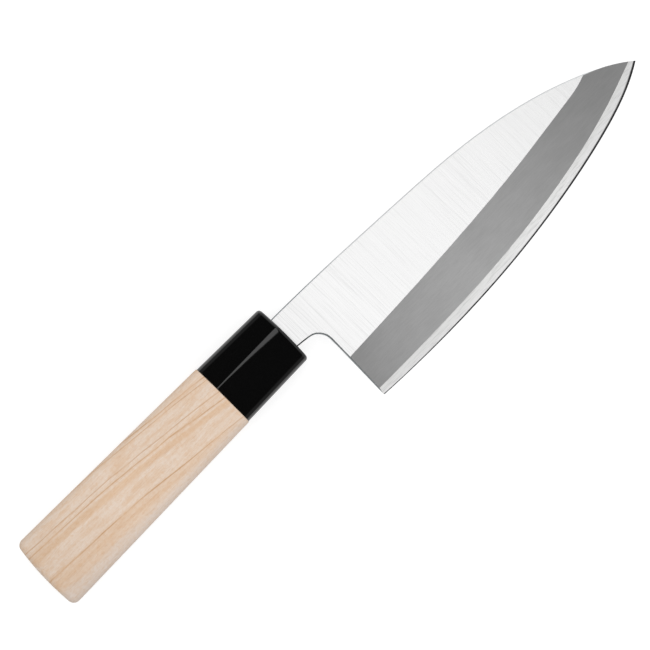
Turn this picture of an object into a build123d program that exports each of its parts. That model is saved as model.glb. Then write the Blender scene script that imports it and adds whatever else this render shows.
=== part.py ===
"""A single-bevel deba knife with a D-section wooden handle and a moulded ferrule, in millimetres.

The knife lies with its ground side up. +X runs along the handle towards the tip, +Y towards the
spine and +Z out of the ground side. It is drawn about the handle's axis, from the ferrule's front
face, and then moved so that the origin is the bottom centre of its bounding box.
"""
import os

from build123d import *

# Blade
blade_length = 150.0  # heel to tip, along the handle
blade_height = 48.0  # heel to spine
spine_thickness = 4.5  # at the ferrule
tip_thickness = 2.0  # where the same taper reaches the tip
neck_height = 13.6
heel_gap = 9.6  # ferrule to heel
choil_reach = 10.25  # ferrule to the deepest point of the choil
choil_drop = 10.2  # from the neck's underside down to that point
heel_round = 0.4
spine_chamfer = 0.45

# Grind
shoulder_thickness = 1.3  # where the wide bevel meets the secondary bevel
edge_bevel_width = 0.75
edge_bevel_thickness = 0.4
edge_thickness = 0.08

# Hollow in the flat back, and the relief under the neck
wheel_radius = 630.0
hollow_rim = 3.0
hollow_runout = 0.05  # how far the wheel stands clear of the back at the hollow's two ends
neck_relief = 0.3
relief_start = 2.5
relief_ramp = 4.0

# Tang and the resin round it
tang_length = 88.0
tang_front_height = 11.0
tang_end_height = 6.0
tang_thickness = 3.4
bond_thickness = 0.6

# Handle and ferrule
handle_length = 123.0  # with the ferrule
wood_front_height = 26.8
butt_height = 30.0
butt_round = 2.7
butt_crown_radius = 110.0
wood_front_chamfer = 0.25
ferrule_length = 31.6
ferrule_front_height = 25.0
ferrule_rear_height = 26.3
ferrule_wall = 2.4
ferrule_front_wall = 3.0
ferrule_front_round = 1.4
ferrule_crown_radius = 200.0
ridge_drop_front = 0.22  # how far the ridge is planed down, which makes a strip that widens forwards
ridge_drop_rear = 0.11
tenon_clearance = 0.1
slot_clearance = 0.2

# How far a cutting solid runs past what it cuts
overrun = 2.0

# Lines of the grind. A station is a share of the blade's length from the heel, and the rest are
# shares of its height from the handle's axis. The first and the last station lie off the steel.
station_shares = (-0.06, 0.0, 0.2, 0.44, 0.64, 0.80, 0.87, 0.93, 1.0, 1.05)
ridge_line_shares = (-0.483, -0.477, -0.455, -0.416, -0.360, -0.296, -0.257, -0.172, -0.03, 0.08)
shoulder_shares = (-0.794, -0.798, -0.796, -0.765, -0.691, -0.592, -0.532, -0.472, -0.396, -0.34)
edge_shares = (-0.842, -0.858, -0.878, -0.851, -0.776, -0.678, -0.620, -0.555, -0.445, -0.344)

# Spine between the neck and the tip, as shares of the same two sizes
spine_shares = (
    (0.104, 0.129), (0.338, 0.091), (0.538, 0.043), (0.705, -0.047),
    (0.839, -0.174), (0.939, -0.317), (0.979, -0.396),
)
neck_slope_share = -0.01

# Choil, as shares of its reach and its drop
choil_shares = ((0.493, 0.064), (0.732, 0.144), (0.92, 0.348))
choil_slope_share = -0.13

# How far a ground surface is carried past its upper and its lower line, as shares of its width
bevel_margin_shares = (0.15, 0.15)
shoulder_margin_shares = (0.3, 0.3)
edge_margin_shares = (0.5, 1.5)

# Hollow: stations at which the wheel is set down, and its two ends, as shares of the blade's length
hollow_shares = (0.14, 0.3, 0.5, 0.68, 0.82, 0.9)
hollow_end_shares = (0.04, 0.955)

# Corners of the handle's section as shares of its half height, towards the spine and up: the ridge,
# the spine side, the belly twice and the edge side. The rounds below follow the same order.
corner_shares = ((0.24, 0.80), (1.0, 0.51), (1.0, -0.72), (-1.0, -0.72), (-1.0, 0.45))
wood_rounds = (3.0, 4.0, 9.6, 9.6, 4.0)
ferrule_rounds = (0, 3.5, 9.0, 9.0, 3.5)
cavity_rounds = (1.0, 1.5, 7.0, 7.0, 1.5)

# Where the butt's crown peaks, from the axis towards the spine, as a share of the butt's half height
crown_share = -0.27

back = -spine_thickness / 2
shoulder_x = -ferrule_front_wall  # the neck's shoulders rest on the wood behind the ferrule's wall


def flat_height(x):
    """Height of the blade's flat side, which falls towards the tip as the steel thins."""
    taper = (spine_thickness - tip_thickness) / (heel_gap + blade_length)
    return spine_thickness / 2 - taper * x


def grind_line(height_shares, height_above_back=None, outward=0):
    """Points of a line of the grind, on the flat side where no height over the back is given."""
    points = []
    for station, share in zip(station_shares, height_shares):
        x = heel_gap + station * blade_length
        z = flat_height(x) if height_above_back is None else back + height_above_back
        points.append(Vector(x, share * blade_height + outward, z))
    return points


def spine_line(flat=False, inward=0, down=0):
    """The spine from the neck's shoulders to the tip, in plan or lying on the blade's flat side."""
    tip = (station_shares[-2], edge_shares[-2])
    points = [Vector(shoulder_x, neck_height / 2)]
    points += [Vector(heel_gap + s * blade_length, h * blade_height) for s, h in (*spine_shares, tip)]
    directions = [Vector(1, neck_slope_share), points[-1] - points[-2]]
    if flat:
        points = [Vector(p.X, p.Y - inward, flat_height(p.X) - down) for p in points]
    return Spline(*points, tangents=directions)


def blade_outline():
    """Plan of the blade and of the neck, back to the neck's shoulders."""
    half = neck_height / 2
    edge = [Vector(p.X, p.Y) for p in grind_line(edge_shares)[1:-1]]
    heel = edge[0]
    choil_end = Vector(choil_reach, -half - choil_drop)
    choil = [Vector(s * choil_reach, -half - d * choil_drop) for s, d in choil_shares]
    choil_directions = [Vector(1, choil_slope_share), Vector(0, -1)]
    outline = Curve() + [
        Line((shoulder_x, -half), (shoulder_x, half)),
        spine_line(),
        Spline(*reversed(edge)),
        Line(heel, choil_end),
        Spline((0, -half), *choil, choil_end, tangents=choil_directions),
        Line((0, -half), (shoulder_x, -half)),
    ]
    face = make_face(outline)
    heel_corner = face.vertices().sort_by_distance(heel)[0]
    return fillet(heel_corner, heel_round)


def blade_blank(outline):
    """The forged blank: the plan, as thick as the steel is at each place, relieved under the neck."""
    past_tip = heel_gap + blade_length + overrun
    ramp_end = relief_start + relief_ramp
    side = Polyline(
        (shoulder_x, flat_height(shoulder_x)),
        (past_tip, flat_height(past_tip)),
        (past_tip, back),
        (ramp_end, back),
        (relief_start, back + neck_relief),
        (shoulder_x, back + neck_relief),
        close=True,
    )
    side_slab = extrude(Plane.XZ * make_face(side), 2 * blade_height, both=True)
    plan_slab = extrude(Pos(0, 0, back - overrun) * outline, spine_thickness + 2 * overrun)
    return plan_slab & side_slab


def above(upper, lower, margins):
    """Everything over the ruled surface between two lines of the grind, carried past both."""
    past_upper = [u + (u - l) * margins[0] for u, l in zip(upper, lower)]
    past_lower = [l + (l - u) * margins[1] for u, l in zip(upper, lower)]
    return over(Spline(*past_upper), Spline(*past_lower))


def over(upper, lower):
    """Everything over the ruled surface between two curves."""
    surface = Face.make_surface_from_curves(upper, lower)
    return extrude(surface, spine_thickness + overrun, Vector(0, 0, 1))


def chord(outline, x):
    """Middle and half height of the plan at one place along the blade."""
    reach = 2 * blade_height
    across = (outline & Line((x, -reach), (x, reach))).bounding_box()
    return across.center().Y, across.size.Y / 2


def hollow(outline):
    """What a grinding wheel takes from the flat back, leaving a flat rim along spine and edge."""
    ends = [heel_gap + share * blade_length for share in hollow_end_shares]
    sections = []
    for x in [ends[0], *(heel_gap + share * blade_length for share in hollow_shares), ends[1]]:
        middle, half = chord(outline, x)
        width = half - hollow_rim
        depth = -hollow_runout if x in ends else width**2 / (2 * wheel_radius)
        reach = (2 * wheel_radius * (depth + overrun)) ** 0.5
        arc = ThreePointArc((middle - reach, back - overrun), (middle, back + depth),
                            (middle + reach, back - overrun))
        closed = Curve() + [arc, Line(arc @ 1, arc @ 0)]
        sections.append(Plane.YZ.offset(x) * make_face(closed))
    return loft(sections)


def tang_solid(grow=0):
    """The tang, or with a growth the mortise that the resin round it fills."""
    front = tang_front_height / 2 + grow
    end = tang_end_height / 2 + grow
    end_x = -tang_length - grow
    plan = Polyline((shoulder_x, -front), (shoulder_x, front), (end_x, end), (end_x, -end), close=True)
    return extrude(make_face(plan), tang_thickness / 2 + grow, both=True)


def make_blade():
    """The ground blade with its broken spine and choil corners, and the tang behind its neck."""
    outline = blade_outline()
    ground = blade_blank(outline)
    ridge = grind_line(ridge_line_shares)
    shoulder = grind_line(shoulder_shares, shoulder_thickness)
    edge = grind_line(edge_shares, edge_thickness)
    edge_top = grind_line(edge_shares, edge_bevel_thickness, edge_bevel_width)
    ground -= above(ridge, shoulder, bevel_margin_shares)
    ground -= above(shoulder, edge_top, shoulder_margin_shares)
    ground -= above(edge_top, edge, edge_margin_shares)
    ground -= over(
        spine_line(True, 2 * spine_chamfer, -spine_chamfer),
        spine_line(True, -spine_chamfer, 2 * spine_chamfer),
    )
    ground -= hollow(outline)
    *_, wide_bevel, flat_side = sorted(ground.faces(), key=lambda f: f.area * f.normal_at().Z)
    corners = [
        e for e in (*flat_side.edges(), *wide_bevel.edges())
        if shoulder_x < e.center().X < choil_reach and e.center().Y < 0
    ]
    return chamfer(corners, spine_chamfer) + tang_solid()


def tapered(rear_x, front_x, half_at, rounds):
    """A length of the handle. Its half height is a straight function of the place along it."""
    rear, front = half_at(rear_x), half_at(front_x)
    middle = Vector((rear_x + front_x) / 2)
    span = 2 * (rear + overrun)
    length = Pos(middle) * Box(front_x - rear_x, span, span)
    corners = [Vector(0, across, up) for across, up in corner_shares]
    for corner, next_corner in zip(corners, (*corners[1:], corners[0])):
        along = Vector(front_x - rear_x) + corner * (front - rear)
        outward = along.cross(next_corner - corner)
        side = Plane(Vector(rear_x) + corner * rear, x_dir=along, z_dir=outward)
        length = split(length, side, keep=Keep.BOTTOM)
    for corner, rounding in zip(corners, rounds):
        halfway = middle + corner * (rear + front) / 2
        long_edge = length.edges().sort_by_distance(halfway)[0]
        length = fillet(long_edge, rounding) if rounding else length
    return length


def ferrule_half(x):
    slope = (ferrule_rear_height - ferrule_front_height) / 2 / ferrule_length
    return ferrule_front_height / 2 - slope * x


def cavity_half(x):
    return ferrule_half(x) - ferrule_wall


def tenon_half(x):
    return cavity_half(x) - tenon_clearance


def wood_half(x):
    slope = (butt_height - wood_front_height) / 2 / (handle_length - ferrule_length)
    return wood_front_height / 2 - slope * (x + ferrule_length)


def make_handle():
    """Wooden handle: a grip with a round-edged butt, and a tenon that fills the ferrule."""
    past_butt = -handle_length - overrun
    crown_y = crown_share * butt_height / 2
    crown = Pos(butt_crown_radius - handle_length, crown_y, 0) * Sphere(butt_crown_radius)
    grip = tapered(past_butt, -ferrule_length, wood_half, wood_rounds) & crown
    grip = fillet(grip.faces().sort_by(Axis.X)[0].edges(), butt_round)
    grip = chamfer(grip.faces().sort_by(Axis.X)[-1].edges(), wood_front_chamfer)
    tenon = tapered(-ferrule_length, shoulder_x, tenon_half, cavity_rounds)
    return grip + tenon - tang_solid(bond_thickness)


def planed_ridge():
    """The plane of the strip along the ferrule's ridge."""
    ridge_share = corner_shares[0][1]
    rear = Vector(-ferrule_length, 0, ridge_share * ferrule_half(-ferrule_length) - ridge_drop_rear)
    along = Vector(0, 0, ridge_share * ferrule_half(0) - ridge_drop_front) - rear
    return Plane(rear, x_dir=along, z_dir=along.cross(Vector(0, 1)))


def make_ferrule():
    """Moulded cap: a tapered D-section sleeve, closed in front but for the slot round the neck."""
    crown = Pos(-ferrule_crown_radius) * Sphere(ferrule_crown_radius)
    sleeve = tapered(-ferrule_length, overrun, ferrule_half, ferrule_rounds) & crown
    sleeve = fillet(sleeve.faces().sort_by(Axis.X)[-1].edges(), ferrule_front_round)
    sleeve = split(sleeve, planed_ridge(), keep=Keep.BOTTOM)
    cavity = tapered(-ferrule_length - overrun, shoulder_x, cavity_half, cavity_rounds)
    neck_bottom = back + neck_relief
    neck_top = flat_height(shoulder_x)
    slot = Pos(0, 0, (neck_top + neck_bottom) / 2) * Box(
        2 * ferrule_front_wall + overrun,
        neck_height + 2 * slot_clearance,
        neck_top - neck_bottom + 2 * slot_clearance,
    )
    return sleeve - cavity - slot


def make_tang_bond():
    """Resin that fills the mortise round the tang."""
    return tang_solid(bond_thickness) - tang_solid()


parts = {
    "blade": make_blade(),
    "handle": make_handle(),
    "ferrule": make_ferrule(),
    "tang_bond": make_tang_bond(),
}
box = Compound(list(parts.values())).bounding_box()
to_origin = Pos(-box.center().X, -box.center().Y, -box.min.Z)

os.makedirs("parts", exist_ok=True)
for name, solid in parts.items():
    export_step(to_origin * solid, f"parts/{name}.step")
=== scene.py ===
"""Finishes and stages a single-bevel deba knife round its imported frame.

The knife lies with its ground side up: +X runs from the butt to the tip, +Y towards the spine and
+Z out of the ground side. Sizes are in metres where no comment says millimetres.
"""
import math

import bmesh
import bpy
from bpy.props import FloatProperty, FloatVectorProperty, PointerProperty
from mathutils import Matrix, Vector


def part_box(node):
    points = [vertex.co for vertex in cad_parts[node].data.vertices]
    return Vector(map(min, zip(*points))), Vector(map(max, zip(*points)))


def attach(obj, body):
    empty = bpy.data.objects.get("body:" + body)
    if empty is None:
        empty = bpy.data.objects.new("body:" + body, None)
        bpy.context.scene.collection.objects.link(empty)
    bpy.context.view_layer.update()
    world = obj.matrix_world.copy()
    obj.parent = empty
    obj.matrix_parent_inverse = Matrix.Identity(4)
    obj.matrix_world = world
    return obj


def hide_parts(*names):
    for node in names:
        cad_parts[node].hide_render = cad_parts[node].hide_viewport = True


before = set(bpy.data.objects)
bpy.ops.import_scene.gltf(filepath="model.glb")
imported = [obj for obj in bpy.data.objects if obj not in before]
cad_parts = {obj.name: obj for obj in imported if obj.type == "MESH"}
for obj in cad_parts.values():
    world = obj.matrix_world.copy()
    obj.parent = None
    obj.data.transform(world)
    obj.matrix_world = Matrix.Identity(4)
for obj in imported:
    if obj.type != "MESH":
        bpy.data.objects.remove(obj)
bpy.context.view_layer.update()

bl_info = {
    "name": "Deba knife finishes",
    "version": (1, 0, 0),
    "blender": (4, 5, 0),
    "location": "3D View > Sidebar > Knife",
    "description": "Steel, wood and moulded finishes for a deba knife, and its studio",
    "category": "Object",
}

BODY = "root"
MM = 0.001
UP = Vector((0, 0, 1))
WHITE = (1, 1, 1, 1)

# Triangles of a CAD node share no corners, so points closer than this are one
MERGE_DISTANCE = 0.5e-6
SHARP_ANGLE = math.radians(28)

# The blade's flat back and the places along it. The line on its spine goes from painted shade by
# the ferrule to its paler colour at the fade, and the tang is what lies behind the ferrule's front wall.
BACK_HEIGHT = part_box("blade")[0].z
FERRULE_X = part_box("ferrule")[1].x
TANG_X = FERRULE_X - 2.5 * MM
HEEL_X = FERRULE_X + 9.6 * MM
SPINE_FADE_X = FERRULE_X + 34 * MM
TIP_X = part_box("blade")[1].x

# The blade's finishes, in the order of its material slots
FLAT_SIDE, WIDE_BEVEL, NARROW_BEVEL, FILED_CORNER, HOLLOW_BACK, EASED_SPINE = range(6)

# Its surfaces are told apart by their height over the flat back and by their slope
EDGE_LAND_HEIGHT = 0.1 * MM
FLAT_SLOPE_LIMIT = math.radians(1.8)
BEVEL_SLOPE_LIMIT = math.radians(13.5)
GROUND_SLOPE_LIMIT = math.radians(36)
SIDE_SLOPE_LIMIT = math.radians(70)

# Heights between which the wide bevel gets a little darker, from its foot up to the ridge
BEVEL_FOOT = BACK_HEIGHT + 1.3 * MM
BEVEL_TOP = BACK_HEIGHT + 4.3 * MM

# The handle's rear end and its axis
BUTT_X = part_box("handle")[0].x
AXIS_Y = sum(corner.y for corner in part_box("handle")) / 2
AXIS_Z = BACK_HEIGHT + 2.25 * MM

# Growth rings of the handle, in millimetres across the grain from the axis at the butt, with the
# wood's look there. The grey look is painted shade and pale reflection of the rounded lower edge.
RING_START, RING_END = -20.0, 24.0
RINGS = (
    (-20.0, "grey"), (-9.5, "grey"), (-8.0, "soft"), (-6.4, "soft"), (-5.3, "warm"), (-4.2, "soft"),
    (-3.05, "soft"), (-2.8, "line"), (-2.5, "soft"), (-1.8, "pale"), (4.2, "pale"), (5.3, "warm"),
    (6.8, "warm"), (7.5, "pale"), (8.15, "soft"), (8.4, "line"), (8.65, "soft"), (9.4, "pale"),
    (10.1, "pale"), (10.3, "line"), (10.5, "pale"), (12.0, "pale"), (14.6, "pale"), (15.8, "soft"),
    (16.0, "line"), (16.25, "pale"), (17.1, "soft"), (17.35, "line"), (17.6, "pale"), (24.0, "soft"),
)

# On its way to the ferrule a ring falls towards the handle's lower edge, at first by this much per
# millimetre and then ever faster, and it wanders by up to RING_WAVE millimetres
RING_FALL = 0.0391
RING_BEND = 0.000535
RING_WAVE = 1.6

# The rings between two heights dip by up to RING_DIP millimetres more. The dip grows from the one
# distance from the butt to the other, and the shares tell how much of it each height has.
RING_DIP = 1.65
DIP_START, DIP_END = 50, 92
DIP_LOW, DIP_HIGH = -4, 12
DIP_SHARES = ((0.08, 0.0), (0.69, 1.0), (0.86, 0.33), (0.97, 0.0))

# Millimetres from the axis, on its lower side, where painted shade and pale reflection start and
# stop greying the wood, and how grey they make it
SHADE_GREY_START, SHADE_GREY_END = -9.3, -12
SHADE_GREY_SHARE = 0.85

# Millimetres from the butt over which the wood gets darker towards the butt
BUTT_DARKENING_LENGTH = 40

# The floor's half width, and its own light towards the camera and the gloss
FLOOR_REACH = 4.0
FLOOR_GLOW = 0.66

# What gloss sees of the room, by the height of the direction: the light of its walls and its
# ceiling, and the share of its bright corners. Matt surfaces get the even light.
ROOM = ((0.0, 0.22), (0.64, 0.22), (0.72, 0.02), (1.0, 0.02))
CORNER_HEIGHTS = ((0.0, 1.0), (0.56, 1.0), (0.66, 0.0))
CORNER_START, CORNER_END = 0.14, 0.34
CORNER_LIGHT = 0.62
EVEN_LIGHT = 0.8
PANEL_RADIANCE = 1.25

# The point of the knife at the middle of the picture, from the ferrule's front and the handle's axis
AIM = Vector((12.4 * MM, -8.41 * MM, 0))

# Two ways to mix colours: one covers the other, or marks darken what lies under them
COVER = {"data_type": "RGBA"}
DARKEN = {"data_type": "RGBA", "blend_type": "MULTIPLY"}


def linear(hex_colour):
    """An sRGB hex colour as linear red, green and blue."""
    parts = [int(hex_colour[i:i + 2], 16) / 255 for i in (1, 3, 5)]
    return tuple(c / 12.92 if c <= 0.04045 else ((c + 0.055) / 1.055) ** 2.4 for c in parts)


def colour_setting(name, description, hex_colour):
    """A colour in the panel, given as sRGB hex."""
    return FloatVectorProperty(
        name=name, description=description, default=linear(hex_colour), subtype="COLOR", min=0, max=1
    )


def length_setting(name, description, size):
    """A length in the panel, given in metres."""
    return FloatProperty(name=name, description=description, default=size, unit="LENGTH", min=0)


class BladeSettings(bpy.types.PropertyGroup):
    flat_colour: colour_setting("Flat side", "Belt-ground flat side of the blade", "#E9E9E9")
    bevel_colour: colour_setting("Wide bevel", "Blasted wide bevel", "#DFDFDF")
    shoulder_colour: colour_setting("Narrow bevel", "Stone-ground strip below the wide bevel", "#FAFAF9")
    # The bright strip is a painted highlight, and the honed line's dark colour a painted dark reflection
    strip_highlight_colour: colour_setting("Bright strip", "Narrow bevel beside the honed line", "#FFFFFF")
    edge_dark_reflection_colour: colour_setting("Honed line", "Honed steel at the cutting edge", "#2E2D2F")
    # The choil's and heel's colours and the spine's colour by the ferrule are painted shade
    choil_shade_colour: colour_setting("Choil", "Filed corners of the neck and the choil", "#171B1C")
    heel_shade_colour: colour_setting("Heel", "Filed corner of the heel", "#868B8D")
    spine_shade_colour: colour_setting("Spine", "Eased corner of the spine by the ferrule", "#8B9295")
    far_spine_colour: colour_setting("Spine, front", "The same corner farther along", "#E2E5E5")
    honed_at_heel: length_setting(
        "Honed height, heel", "Steel thickness below which it is honed", 0.225 * MM
    )
    honed_at_tip: length_setting("Honed height, tip", "The same at the tip", 0.44 * MM)
    line_spacing: length_setting("Line spacing", "Between the belt's lines on the flat side", 0.3 * MM)
    line_length: length_setting("Line length", "Length of one such line", 24 * MM)


class HandleSettings(bpy.types.PropertyGroup):
    pale_colour: colour_setting("Pale wood", "Early wood of the handle", "#EAD9CA")
    band_colour: colour_setting("Warm band", "Warmer wood beside a ring", "#E4C8AD")
    line_colour: colour_setting("Ring", "Late wood line of a growth ring", "#C99E71")
    # This grey is painted shade and pale reflection on the handle's rounded lower edge
    edge_shade_grey_colour: colour_setting("Grey wood", "Cooler wood near the handle's lower edge", "#E4D6CB")
    pore_length: length_setting("Pore length", "Length of the fine marks along the grain", 3.5 * MM)
    pore_width: length_setting("Pore width", "Width of the fine marks along the grain", 0.16 * MM)


class FerruleSettings(bpy.types.PropertyGroup):
    plastic_colour: colour_setting("Plastic", "Moulded ferrule", "#070707")
    roughness: FloatProperty(
        name="Roughness", description="Gloss of the moulded face", default=0.07, min=0, max=1
    )


class StudioSettings(bpy.types.PropertyGroup):
    lens: FloatProperty(
        name="Lens", description="Focal length in mm", default=300, min=20, unit="CAMERA"
    )
    view_width: length_setting("View width", "Width seen at the knife", 233.8 * MM)
    axis_angle: FloatProperty(
        name="Handle angle", description="Handle's angle in the picture",
        default=math.radians(45.44), subtype="ANGLE",
    )
    tilt: FloatProperty(
        name="Tilt", description="How far the view leans to the butt",
        default=math.radians(3), subtype="ANGLE",
    )
    floor_colour: colour_setting("Floor", "Pale floor under the knife", "#BEBEBE")
    panel_width: length_setting("Panel width", "Side of the soft light overhead", 1.0)
    panel_height: length_setting("Panel height", "Height of the soft light overhead", 1.3)


def in_use(sockets, name=None):
    """The first socket that the node's settings leave in use, or the first of this name."""
    return next(socket for socket in sockets if socket.enabled and name in (None, socket.name))


def add(tree, kind, inputs=None, stops=(), **settings):
    """Adds a node with its settings, its inputs and its colour stops.

    An input is named or numbered. It gets a value, a socket or the first output of another node.
    """
    node = tree.nodes.new("ShaderNode" + kind)
    for name, value in settings.items():
        setattr(node, name, value)
    for name, value in (inputs or {}).items():
        socket = node.inputs[name] if isinstance(name, int) else in_use(node.inputs, name)
        if isinstance(value, bpy.types.Node):
            value = in_use(value.outputs)
        if isinstance(value, bpy.types.NodeSocket):
            tree.links.new(value, socket)
        else:
            socket.default_value = value
    if stops:
        elements = node.color_ramp.elements
        while len(elements) < len(stops):
            elements.new(1)
        for element, (position, colour) in zip(elements, stops):
            element.position = position
            element.color = (colour, colour, colour, 1) if isinstance(colour, float) else (*colour, 1)
    return node


def new_material(name):
    """An empty node material, its tree, and the object's own coordinates."""
    material = bpy.data.materials.new(name)
    material.use_nodes = True
    material.node_tree.nodes.clear()
    place = add(material.node_tree, "TexCoord").outputs["Object"]
    return material, material.node_tree, place


def finished(material, shader):
    """The material with its shader on its output."""
    add(material.node_tree, "OutputMaterial", {"Surface": shader})
    return material


def uneven_marks(tree, place, sizes, detail, roughness=0.5, distortion=0, turn=0):
    """Uneven marks with these sizes along X, Y and Z, turned about Z."""
    cells = add(tree, "Mapping", {
        "Vector": place, "Rotation": (0, 0, turn), "Scale": [1 / size for size in sizes],
    })
    return add(tree, "TexNoise", {
        "Vector": cells, "Scale": 1, "Detail": detail, "Roughness": roughness,
        "Distortion": distortion,
    })


def share_along(tree, place, start=HEEL_X, end=TIP_X):
    """How much of the way from start to end along the blade lies behind a place."""
    along = add(tree, "SeparateXYZ", {"Vector": place}).outputs["X"]
    return add(tree, "MapRange", {"Value": along, "From Min": start, "From Max": end})


def belt_ground_steel(settings):
    """Cutlery steel ground across on a fine belt: nearly white, with faint lines from spine to bevel.

    The belt's real lines are under 0.1 mm wide, so they are drawn coarser to show at all.
    """
    material, tree, place = new_material("belt_ground_steel")
    spacing, reach = settings.line_spacing, settings.line_length
    lean = math.radians(4)
    no_lines = (0.99, 0.99, 0.99, 1)
    fine_lines = uneven_marks(tree, place, (spacing, reach, reach), detail=3, roughness=0.7, turn=lean)
    tint = add(tree, "ValToRGB", {"Fac": fine_lines}, stops=((0.3, 0.85), (0.46, 0.97), (0.58, 1.0)))
    share = share_along(tree, place)
    depth = add(tree, "ValToRGB", {"Fac": share}, stops=(
        (0.0, 1.0), (0.12, 0.9), (0.28, 0.5), (0.38, 0.35), (0.46, 0.8), (0.6, 0.6), (1.0, 0.45),
    ))
    colour = add(tree, "Mix", {"Factor": depth, "A": no_lines, "B": tint}, **COVER)
    # Painted reflection: the flat side is made lighter and darker along the blade
    painted_sheen = add(tree, "ValToRGB", {"Fac": share}, stops=(
        (0.0, 0.97), (0.08, 1.0), (0.5, 1.0), (0.78, 0.98), (1.0, 0.965),
    ))
    for layer in (painted_sheen, (*settings.flat_colour, 1)):
        colour = add(tree, "Mix", {"Factor": 1, "A": colour, "B": layer}, **DARKEN)
    bump = add(tree, "Bump", {"Strength": 0.08, "Distance": 0.01 * MM, "Height": fine_lines})
    return finished(material, add(tree, "BsdfPrincipled", {
        "Base Color": colour, "Metallic": 1, "Roughness": 0.27, "Normal": bump,
    }))


def blasted_steel(settings):
    """Steel blasted with fine glass beads: an even, dull grey, faintly mottled.

    The real grain is about 0.05 mm, so it is drawn coarser to show at all.
    """
    material, tree, place = new_material("blasted_steel")
    cloud_size, grain_size = 5 * MM, 0.25 * MM
    wipe_length, wipe_width = 5 * MM, 0.5 * MM
    cloud = uneven_marks(tree, place, (2 * cloud_size, cloud_size, cloud_size), detail=3)
    grain = uneven_marks(tree, place, [grain_size] * 3, detail=2)
    wipe = uneven_marks(tree, place, (wipe_length, wipe_width, wipe_width), detail=3)
    share = share_along(tree, place)
    height = add(tree, "SeparateXYZ", {"Vector": place}).outputs["Z"]
    up = add(tree, "MapRange", {"Value": height, "From Min": BEVEL_FOOT, "From Max": BEVEL_TOP})

    colour = add(tree, "ValToRGB", {"Fac": cloud}, stops=((0.3, 0.94), (0.7, 1.0)))
    wiped = add(tree, "ValToRGB", {"Fac": wipe}, stops=((0.3, 0.93), (0.65, 1.0)))
    speck = add(tree, "ValToRGB", {"Fac": grain}, stops=((0.3, 0.95), (0.7, 1.0)))
    # Painted reflection: the wide bevel is made lighter and darker along the blade
    painted_reflection_sweep = add(tree, "ValToRGB", {"Fac": share}, stops=(
        (0.0, 0.86), (0.12, 0.97), (0.34, 1.0), (0.54, 0.88), (0.74, 0.72), (1.0, 0.58),
    ))
    across = add(tree, "ValToRGB", {"Fac": up}, stops=((0.0, 1.0), (0.4, 0.97), (1.0, 0.9)))
    for layer in (wiped, speck, painted_reflection_sweep, across, (*settings.bevel_colour, 1)):
        colour = add(tree, "Mix", {"Factor": 1, "A": colour, "B": layer}, **DARKEN)
    bump = add(tree, "Bump", {"Strength": 0.15, "Distance": 0.01 * MM, "Height": grain})
    return finished(material, add(tree, "BsdfPrincipled", {
        "Base Color": colour, "Metallic": 1, "Roughness": 0.48, "Normal": bump,
    }))


def stone_ground_steel(settings):
    """Steel ground on a medium stone: pale, with slanting marks, and at the edge a painted dark reflection
    on the honed line beside a painted highlight.

    The stone's real marks are under 0.1 mm wide, so they are drawn coarser to show at all.
    """
    material, tree, place = new_material("stone_ground_steel")
    slant = math.radians(-24)
    mark_width, mark_length = 0.45 * MM, 5 * MM
    marks = uneven_marks(tree, place, (mark_length, mark_width, mark_width), detail=3, turn=slant)
    colour = add(tree, "ValToRGB", {"Fac": marks}, stops=((0.3, 0.82), (0.48, 0.97), (0.62, 1.0)))
    share = share_along(tree, place)

    # The bands across follow the steel's thickness, counted in honed heights: a painted dark reflection
    # on the honed line, then a painted highlight, then the narrow bevel's own pale colour
    heights_drawn = 5
    honed = add(tree, "MapRange", {
        "Value": share, "To Min": settings.honed_at_heel, "To Max": settings.honed_at_tip,
    })
    place_z = add(tree, "SeparateXYZ", {"Vector": place}).outputs["Z"]
    height = add(tree, "Math", {0: place_z, 1: BACK_HEIGHT}, operation="SUBTRACT")
    count = add(tree, "Math", {0: height, 1: honed}, operation="DIVIDE")
    drawn = add(tree, "Math", {0: count, 1: 1 / heights_drawn}, operation="MULTIPLY")
    bands = add(tree, "ValToRGB", {"Fac": drawn}, stops=(
        (0.17, settings.edge_dark_reflection_colour), (0.23, settings.strip_highlight_colour), (0.36, settings.strip_highlight_colour),
        (0.5, settings.shoulder_colour),
    ))
    # Painted reflection: the narrow bevel is made lighter and darker along the blade
    painted_sheen = add(tree, "ValToRGB", {"Fac": share}, stops=(
        (0.0, 0.92), (0.15, 0.905), (0.35, 0.955), (0.55, 1.0), (0.75, 0.935), (0.95, 0.86),
    ))
    for layer in (bands, painted_sheen):
        colour = add(tree, "Mix", {"Factor": 1, "A": colour, "B": layer}, **DARKEN)
    return finished(material, add(tree, "BsdfPrincipled", {
        "Base Color": colour, "Metallic": 0.27, "Roughness": 0.6,
    }))


def filed_steel(name, near_colour, far_colour, fade_end):
    """Steel filed and eased by hand: a thin line along a corner, with small, uneven marks.

    Its colour goes from the one by the ferrule to the one from the end of the fade onwards. The colour by
    the ferrule is painted shade.
    """
    material, tree, place = new_material(name)
    mark_size = 0.3 * MM
    marks = uneven_marks(tree, place, [mark_size] * 3, detail=2)
    tint = add(tree, "ValToRGB", {"Fac": marks}, stops=((0.3, 0.85), (0.7, 1.0)))
    share = share_along(tree, place, FERRULE_X, fade_end)
    base = add(tree, "ValToRGB", {"Fac": share}, stops=((0.3, near_colour), (1.0, far_colour)))
    colour = add(tree, "Mix", {"Factor": 1, "A": tint, "B": base}, **DARKEN)
    return finished(material, add(tree, "BsdfPrincipled", {
        "Base Color": colour, "Metallic": 0.5, "Roughness": 0.4,
    }))


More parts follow.
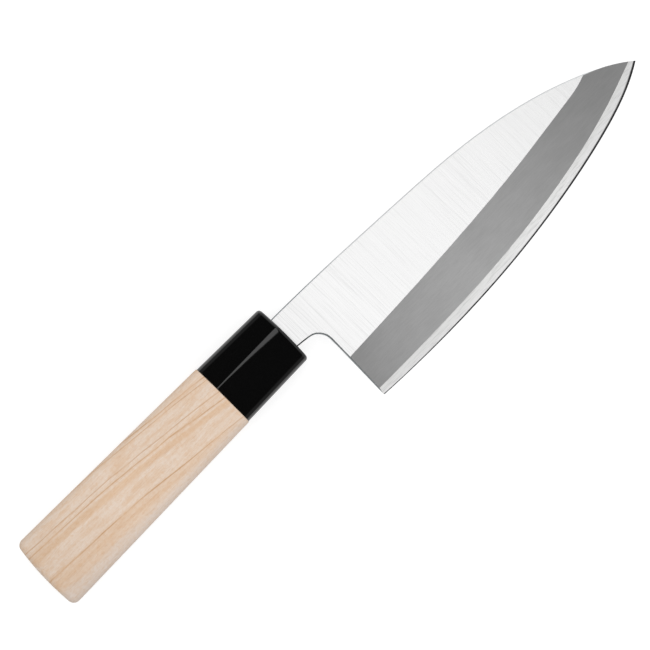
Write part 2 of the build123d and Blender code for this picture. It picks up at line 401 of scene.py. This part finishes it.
def wheel_ground_steel(settings):
    """The back, hollowed on a large wheel: bright steel with fine lines along the blade.

    The wheel's real lines are under 0.1 mm wide, so they are drawn coarser to show at all.
    """
    material, tree, place = new_material("wheel_ground_steel")
    spacing, reach = 0.35 * MM, 20 * MM
    fine_lines = uneven_marks(tree, place, (reach, spacing, reach), detail=3)
    tint = add(tree, "ValToRGB", {"Fac": fine_lines}, stops=((0.3, 0.85), (0.7, 1.0)))
    colour = add(tree, "Mix", {
        "Factor": 1, "A": tint, "B": (*settings.flat_colour, 1),
    }, **DARKEN)
    bump = add(tree, "Bump", {"Strength": 0.1, "Distance": 0.01 * MM, "Height": fine_lines})
    return finished(material, add(tree, "BsdfPrincipled", {
        "Base Color": colour, "Metallic": 1, "Roughness": 0.24, "Normal": bump,
    }))


def growth_rings(settings, tree, place, point):
    """The wood's colour by its growth rings, at a point in millimetres from the axis at the butt."""
    looks = {
        "pale": Vector(settings.pale_colour),
        "warm": Vector(settings.band_colour),
        "line": Vector(settings.line_colour),
        "grey": Vector(settings.edge_shade_grey_colour),
    }
    looks["soft"] = looks["pale"].lerp(looks["warm"], 0.5)
    wave_length, wave_width = 30 * MM, 5 * MM
    fall = add(tree, "Math", {0: point["X"], 1: RING_BEND, 2: RING_FALL}, operation="MULTIPLY_ADD")
    fallen = add(tree, "Math", {0: fall, 1: point["X"], 2: point["Y"]}, operation="MULTIPLY_ADD")
    drawn = add(tree, "MapRange", {"Value": fallen, "From Min": DIP_LOW, "From Max": DIP_HIGH})
    share = add(tree, "ValToRGB", {"Fac": drawn}, stops=DIP_SHARES)
    dip = add(tree, "MapRange", {
        "Value": point["X"], "From Min": DIP_START, "From Max": DIP_END, "To Max": RING_DIP,
    })
    dipped = add(tree, "Math", {0: share, 1: dip, 2: fallen}, operation="MULTIPLY_ADD")
    wave = uneven_marks(tree, place, (wave_length, wave_width, wave_width), detail=3)
    wavy = add(tree, "Math", {0: wave, 1: RING_WAVE, 2: dipped}, operation="MULTIPLY_ADD")
    ring = add(tree, "MapRange", {
        "Value": wavy, "From Min": RING_START + RING_WAVE / 2, "From Max": RING_END + RING_WAVE / 2,
    })
    span = RING_END - RING_START
    stops = [((at - RING_START) / span, looks[look]) for at, look in RINGS]
    return add(tree, "ValToRGB", {"Fac": ring}, stops=stops)


def sanded_magnolia(settings):
    """Raw magnolia wood, sanded: pale and matt, with thin warm rings that run out along the handle.

    Streaks, pores and flecks along the grain soften it, and the real pores are too fine to show, so
    they are drawn coarser.
    """
    material, tree, place = new_material("sanded_magnolia")
    streak_length, streak_width = 14 * MM, 0.5 * MM
    figure_length, figure_width = 11 * MM, 2.2 * MM
    fleck_length, fleck_width = 1.3 * MM, 1.0 * MM
    pore_length, pore_width = settings.pore_length, settings.pore_width
    streak = uneven_marks(tree, place, (streak_length, streak_width, streak_width), detail=4, roughness=0.65)
    figure = uneven_marks(tree, place, (figure_length, figure_width, figure_width), detail=3, distortion=0.4)
    pore = uneven_marks(tree, place, (pore_length, pore_width, pore_width), detail=1)
    fleck = uneven_marks(
        tree, place, (fleck_length, fleck_width, fleck_width), detail=4, roughness=0.65, distortion=0.8
    )
    from_butt = add(tree, "Mapping", {
        "Vector": place, "Scale": [1 / MM] * 3,
        "Location": (-BUTT_X / MM, -AXIS_Y / MM, -AXIS_Z / MM),
    })
    point = add(tree, "SeparateXYZ", {"Vector": from_butt}).outputs
    # Painted shade and pale reflection grey the wood towards its rounded lower edge
    lower_edge_shade = add(tree, "MapRange", {
        "Value": point["Y"], "From Min": SHADE_GREY_START, "From Max": SHADE_GREY_END, "To Max": SHADE_GREY_SHARE,
    })
    towards_butt = add(tree, "MapRange", {"Value": point["X"], "From Max": BUTT_DARKENING_LENGTH})

    rings = growth_rings(settings, tree, place, point)
    patch = add(tree, "ValToRGB", {"Fac": figure}, stops=((0.45, 0.0), (0.66, 0.7)))
    warmed = add(tree, "Mix", {
        "Factor": patch, "A": rings, "B": (*settings.band_colour, 1),
    }, **COVER)
    colour = add(tree, "Mix", {"Factor": lower_edge_shade, "A": warmed, "B": (*settings.edge_shade_grey_colour, 1)}, **COVER)

    streaks = add(tree, "ValToRGB", {"Fac": streak}, stops=((0.3, (0.94, 0.9, 0.86)), (0.7, 1.0)))
    pores = add(tree, "ValToRGB", {"Fac": pore}, stops=((0.28, (0.9, 0.84, 0.78)), (0.42, 1.0)))
    flecks = add(tree, "ValToRGB", {"Fac": fleck}, stops=((0.32, (0.96, 0.88, 0.79)), (0.6, 1.0)))
    # The wood gets darker towards the butt
    dark_butt = add(tree, "ValToRGB", {"Fac": towards_butt}, stops=((0.0, 0.9), (0.5, 0.96), (1.0, 1.0)))
    marks = add(tree, "Mix", {"Factor": 1, "A": streaks, "B": pores}, **DARKEN)
    for layer in (marks, flecks, dark_butt):
        colour = add(tree, "Mix", {"Factor": 1, "A": colour, "B": layer}, **DARKEN)
    bump = add(tree, "Bump", {"Strength": 0.35, "Distance": 0.05 * MM, "Height": marks})
    return finished(material, add(tree, "BsdfPrincipled", {
        "Base Color": colour, "Roughness": 0.62, "Specular IOR Level": 0.35, "Sheen Weight": 0.1,
        "Normal": bump,
    }))


def moulded_abs(settings):
    """Glossy black ABS as it leaves the mould: deep black, with a slight waviness in its reflections."""
    material, tree, place = new_material("moulded_abs")
    wave_size, dust_size = 7 * MM, 0.5 * MM
    dust_roughness = 0.04
    wave = uneven_marks(tree, place, [wave_size] * 3, detail=1)
    dust = uneven_marks(tree, place, [dust_size] * 3, detail=2)
    gloss = add(tree, "MapRange", {
        "Value": dust, "To Min": settings.roughness, "To Max": settings.roughness + dust_roughness,
    })
    tint = add(tree, "ValToRGB", {"Fac": dust}, stops=((0.4, 0.85), (0.7, 1.0)))
    colour = add(tree, "Mix", {
        "Factor": 1, "A": tint, "B": (*settings.plastic_colour, 1),
    }, **DARKEN)
    bump = add(tree, "Bump", {"Strength": 0.05, "Distance": 0.3 * MM, "Height": wave})
    return finished(material, add(tree, "BsdfPrincipled", {
        "Base Color": colour, "Roughness": gloss, "IOR": 1.6, "Normal": bump,
    }))


def hardened_resin():
    """Hardened amber resin round the tang: glossy brown, seen only when the handle is off."""
    material, tree, place = new_material("hardened_resin")
    swirl_size = 4 * MM
    dark, pale = linear("#6E4B23"), linear("#8A6433")
    swirl = uneven_marks(tree, place, [swirl_size] * 3, detail=3)
    colour = add(tree, "ValToRGB", {"Fac": swirl}, stops=((0.3, dark), (0.7, pale)))
    return finished(material, add(tree, "BsdfPrincipled", {
        "Base Color": colour, "Roughness": 0.3, "IOR": 1.55,
    }))


def merged_piece(node, name):
    """A copy of a CAD node with its triangles joined and smooth faces between its sharp edges."""
    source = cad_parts[node].data
    mesh = bpy.data.meshes.new(name)
    mesh.from_pydata([v.co for v in source.vertices], [], [tuple(p.vertices) for p in source.polygons])
    joined = bmesh.new()
    joined.from_mesh(mesh)
    bmesh.ops.remove_doubles(joined, verts=joined.verts, dist=MERGE_DISTANCE)
    for face in joined.faces:
        face.smooth = True
    for edge in joined.edges:
        edge.smooth = len(edge.link_faces) == 2 and edge.calc_face_angle() < SHARP_ANGLE
    joined.to_mesh(mesh)
    joined.free()
    piece = bpy.data.objects.new(name, mesh)
    bpy.context.scene.collection.objects.link(piece)
    return piece


def stand_for(piece, node):
    """The piece rides on the knife's one body in the place of its CAD node."""
    flat_faces_first = piece.modifiers.new("flat_faces_first", "WEIGHTED_NORMAL")
    flat_faces_first.keep_sharp = True
    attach(piece, BODY)
    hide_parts(node)


def blade_finish(face):
    """Which of the blade's finishes a face has: its place, its height and its slope tell.

    The thin land of the edge is honed with the narrow bevel. The tang and the slanting corners of
    neck, choil and heel are filed. The spine is eased, and so are all upright sides.
    """
    height = face.center.z - BACK_HEIGHT
    slope = face.normal.angle(UP)
    if slope > math.pi - GROUND_SLOPE_LIMIT:
        return HOLLOW_BACK
    if height < EDGE_LAND_HEIGHT:
        return NARROW_BEVEL
    if face.center.x < TANG_X:
        return FILED_CORNER
    if slope > GROUND_SLOPE_LIMIT:
        on_spine = face.normal.y > max(0, -face.normal.x)
        return EASED_SPINE if on_spine or slope > SIDE_SLOPE_LIMIT else FILED_CORNER
    if slope < FLAT_SLOPE_LIMIT:
        return FLAT_SIDE
    return WIDE_BEVEL if slope < BEVEL_SLOPE_LIMIT else NARROW_BEVEL


def finish_edges(mesh):
    """Where two finishes meet, the edge between them is sharp, however small its angle."""
    faces = bmesh.new()
    faces.from_mesh(mesh)
    for edge in faces.edges:
        if len({face.material_index for face in edge.link_faces}) > 1:
            edge.smooth = False
    faces.to_mesh(mesh)
    faces.free()


class KNIFE_OT_blade(bpy.types.Operator):
    """Gives the blade's ground surfaces their finishes"""
    bl_idname = "knife.blade"
    bl_label = "Blade"

    def execute(self, context):
        settings = context.scene.knife_blade
        blade = merged_piece("blade", "ground_blade")
        finishes = {
            FLAT_SIDE: belt_ground_steel(settings),
            WIDE_BEVEL: blasted_steel(settings),
            NARROW_BEVEL: stone_ground_steel(settings),
            FILED_CORNER: filed_steel(
                "filed_choil_steel", settings.choil_shade_colour, settings.heel_shade_colour, HEEL_X
            ),
            HOLLOW_BACK: wheel_ground_steel(settings),
            EASED_SPINE: filed_steel(
                "eased_spine_steel", settings.spine_shade_colour, settings.far_spine_colour, SPINE_FADE_X
            ),
        }
        for finish in sorted(finishes):
            blade.data.materials.append(finishes[finish])
        for face in blade.data.polygons:
            face.material_index = blade_finish(face)
        finish_edges(blade.data)
        stand_for(blade, "blade")
        return {"FINISHED"}


class KNIFE_OT_handle(bpy.types.Operator):
    """Gives the handle its sanded wood"""
    bl_idname = "knife.handle"
    bl_label = "Handle"

    def execute(self, context):
        handle = merged_piece("handle", "wooden_handle")
        handle.data.materials.append(sanded_magnolia(context.scene.knife_handle))
        stand_for(handle, "handle")
        return {"FINISHED"}


class KNIFE_OT_ferrule(bpy.types.Operator):
    """Gives the ferrule its moulded plastic"""
    bl_idname = "knife.ferrule"
    bl_label = "Ferrule"

    def execute(self, context):
        ferrule = merged_piece("ferrule", "moulded_ferrule")
        ferrule.data.materials.append(moulded_abs(context.scene.knife_ferrule))
        stand_for(ferrule, "ferrule")
        return {"FINISHED"}


class KNIFE_OT_tang_bond(bpy.types.Operator):
    """Gives the resin round the tang its finish"""
    bl_idname = "knife.tang_bond"
    bl_label = "Tang bond"

    def execute(self, context):
        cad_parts["tang_bond"].data.materials[0] = hardened_resin()
        return {"FINISHED"}


def pale_floor(settings):
    """A pale sheet of paper: it keeps the soft shadow and otherwise shows white."""
    material, tree, place = new_material("pale_paper")
    fibre_size = 1.5 * MM
    fibre = uneven_marks(tree, place, [fibre_size] * 3, detail=2)
    tint = add(tree, "ValToRGB", {"Fac": fibre}, stops=((0.3, 0.98), (0.7, 1.0)))
    colour = add(tree, "Mix", {
        "Factor": 1, "A": tint, "B": (*settings.floor_colour, 1),
    }, **DARKEN)
    paper = add(tree, "BsdfDiffuse", {"Color": colour})
    ray = add(tree, "LightPath").outputs
    seen = ray["Is Camera Ray"]
    for kind in ("Is Glossy Ray", "Is Transmission Ray"):
        seen = add(tree, "Math", {0: seen, 1: ray[kind]}, operation="MAXIMUM")
    glow = add(tree, "Math", {0: seen, 1: FLOOR_GLOW}, operation="MULTIPLY")
    white = add(tree, "Emission", {"Color": WHITE, "Strength": glow})
    return finished(material, add(tree, "AddShader", {0: paper, 1: white}))


def light_room(scene, settings):
    """A white room with a soft square panel overhead.

    The camera sees white. Matt surfaces get the even light of a white room. Gloss sees pale walls with
    brighter corners, and a dark ceiling in which the panel hangs.
    """
    world = bpy.data.worlds.new("studio")
    world.use_nodes = True
    tree = world.node_tree
    tree.nodes.clear()
    sky = add(tree, "TexCoord").outputs["Generated"]
    direction = add(tree, "SeparateXYZ", {"Vector": sky}).outputs
    walls = add(tree, "ValToRGB", {"Fac": direction["Z"]}, stops=ROOM)
    below = add(tree, "ValToRGB", {"Fac": direction["Z"]}, stops=CORNER_HEIGHTS)
    diagonal = add(tree, "Math", {0: direction["X"], 1: direction["Y"]}, operation="MULTIPLY")
    either = add(tree, "Math", {0: diagonal}, operation="ABSOLUTE")
    corner = add(tree, "MapRange", {
        "Value": either, "From Min": CORNER_START, "From Max": CORNER_END,
    })
    share = add(tree, "Math", {0: corner, 1: below}, operation="MULTIPLY")
    corner_light = (CORNER_LIGHT, CORNER_LIGHT, CORNER_LIGHT, 1)
    even_light = (EVEN_LIGHT, EVEN_LIGHT, EVEN_LIGHT, 1)
    room = add(tree, "Mix", {"Factor": share, "A": walls, "B": corner_light}, **COVER)
    ray = add(tree, "LightPath").outputs
    light = add(tree, "Mix", {"Factor": ray["Is Glossy Ray"], "A": even_light, "B": room}, **COVER)
    seen = add(tree, "Mix", {"Factor": ray["Is Camera Ray"], "A": light, "B": WHITE}, **COVER)
    background = add(tree, "Background", {"Color": seen, "Strength": 1})
    add(tree, "OutputWorld", {"Surface": background})
    scene.world = world

    lamp = bpy.data.lights.new("overhead_panel", "AREA")
    lamp.shape = "SQUARE"
    lamp.size = settings.panel_width
    lamp.energy = PANEL_RADIANCE * math.pi * settings.panel_width**2
    panel = bpy.data.objects.new("overhead_panel", lamp)
    panel.location.z = settings.panel_height
    panel.visible_camera = False
    scene.collection.objects.link(panel)


def aim_camera(scene, settings):
    """Looks down on the ground side with the handle slanting through the picture."""
    camera = bpy.data.cameras.new("camera")
    camera.lens = settings.lens
    distance = settings.view_width * settings.lens / camera.sensor_width
    roll = Matrix.Rotation(-settings.axis_angle, 3, "Z")
    tilt = Matrix.Rotation(-settings.tilt, 3, "Y")
    turn = tilt @ roll
    target = Vector((FERRULE_X, AXIS_Y, AXIS_Z)) + AIM
    viewer = bpy.data.objects.new("camera", camera)
    viewer.matrix_world = Matrix.Translation(target + turn @ (UP * distance)) @ turn.to_4x4()
    scene.collection.objects.link(viewer)
    scene.camera = viewer


class KNIFE_OT_stage(bpy.types.Operator):
    """Builds the pale floor, the soft room and the camera"""
    bl_idname = "knife.stage"
    bl_label = "Stage"

    def execute(self, context):
        settings = context.scene.knife_studio
        corners = [(x, y, 0) for x, y in ((-1, -1), (1, -1), (1, 1), (-1, 1))]
        mesh = bpy.data.meshes.new("floor")
        mesh.from_pydata([Vector(c) * FLOOR_REACH for c in corners], [], [(0, 1, 2, 3)])
        floor = bpy.data.objects.new("floor", mesh)
        floor.data.materials.append(pale_floor(settings))
        context.scene.collection.objects.link(floor)
        light_room(context.scene, settings)
        aim_camera(context.scene, settings)
        context.scene.view_settings.view_transform = "Standard"
        return {"FINISHED"}


class KNIFE_PT_finishes(bpy.types.Panel):
    """Lists the steps, each with its settings"""
    bl_label = "Deba knife"
    bl_idname = "KNIFE_PT_finishes"
    bl_space_type = "VIEW_3D"
    bl_region_type = "UI"
    bl_category = "Knife"

    def draw(self, context):
        for operator, group in STEPS:
            self.layout.operator(operator.bl_idname)
            for name in GROUPS[group].__annotations__ if group else ():
                self.layout.prop(getattr(context.scene, group), name)


GROUPS = {
    "knife_blade": BladeSettings,
    "knife_handle": HandleSettings,
    "knife_ferrule": FerruleSettings,
    "knife_studio": StudioSettings,
}
STEPS = (
    (KNIFE_OT_stage, "knife_studio"),
    (KNIFE_OT_blade, "knife_blade"),
    (KNIFE_OT_handle, "knife_handle"),
    (KNIFE_OT_ferrule, "knife_ferrule"),
    (KNIFE_OT_tang_bond, None),
)
CLASSES = (*GROUPS.values(), *(operator for operator, group in STEPS), KNIFE_PT_finishes)


def register():
    for cls in CLASSES:
        bpy.utils.register_class(cls)
    for name, group in GROUPS.items():
        setattr(bpy.types.Scene, name, PointerProperty(type=group))


def unregister():
    for name in GROUPS:
        delattr(bpy.types.Scene, name)
    for cls in reversed(CLASSES):
        bpy.utils.unregister_class(cls)


def main():
    """Builds the staged knife step by step."""
    register()
    bpy.ops.knife.stage()
    bpy.ops.knife.blade()
    bpy.ops.knife.handle()
    bpy.ops.knife.ferrule()
    bpy.ops.knife.tang_bond()


if __name__ == "__main__":
    main()
